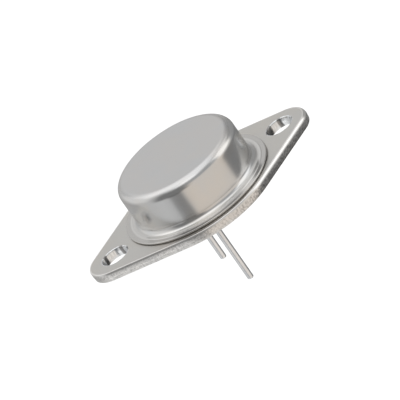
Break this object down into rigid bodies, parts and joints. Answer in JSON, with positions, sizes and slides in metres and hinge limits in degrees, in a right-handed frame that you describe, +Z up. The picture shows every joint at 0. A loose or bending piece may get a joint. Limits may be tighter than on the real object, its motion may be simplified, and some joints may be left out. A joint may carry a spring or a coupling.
{
  "type": "power transistor",
  "caption": "Steel-can power transistor: round welded cap on a rhombic flange with a screw hole at each end and straight leads below.",
  "frame": {"origin": "centre of the flange's underside, which is the face that seats on a heatsink", "axes": "+X along the flange through both screw holes, +Z up through the cap, leads towards -Z"},
  "size_m": [0.0388, 0.0252, 0.0203],
  "materials": {
    "flange_nickel": "satin nickel plating on steel",
    "cap_nickel": "bright nickel plating on drawn steel, with a satin top",
    "lead_nickel": "nickel plating on nickel-iron wire",
    "seal_glass": "dark green sealing glass, fire polished",
    "braze": "pale silver-copper braze",
    "copper": "bare copper, satin",
    "die_solder": "dull grey solder",
    "silicon": "dark silicon, sawn edges",
    "film_aluminium": "thin bright metal film",
    "wire_aluminium": "drawn aluminium wire",
    "silicone": "milky soft silicone"
  },
  "bodies": {
    "root": {"header_flange": "flange_nickel", "cap": "cap_nickel", "base_lead": "lead_nickel", "emitter_lead": "lead_nickel", "base_seal": "seal_glass", "emitter_seal": "seal_glass", "spreader_braze": "braze", "heat_spreader": "copper", "die_solder": "die_solder", "silicon_die": "silicon", "emitter_film": "film_aluminium", "base_film": "film_aluminium", "base_wire": "wire_aluminium", "emitter_wire_1": "wire_aluminium", "emitter_wire_2": "wire_aluminium", "chip_coating": "silicone"}
  },
  "joints": []
}
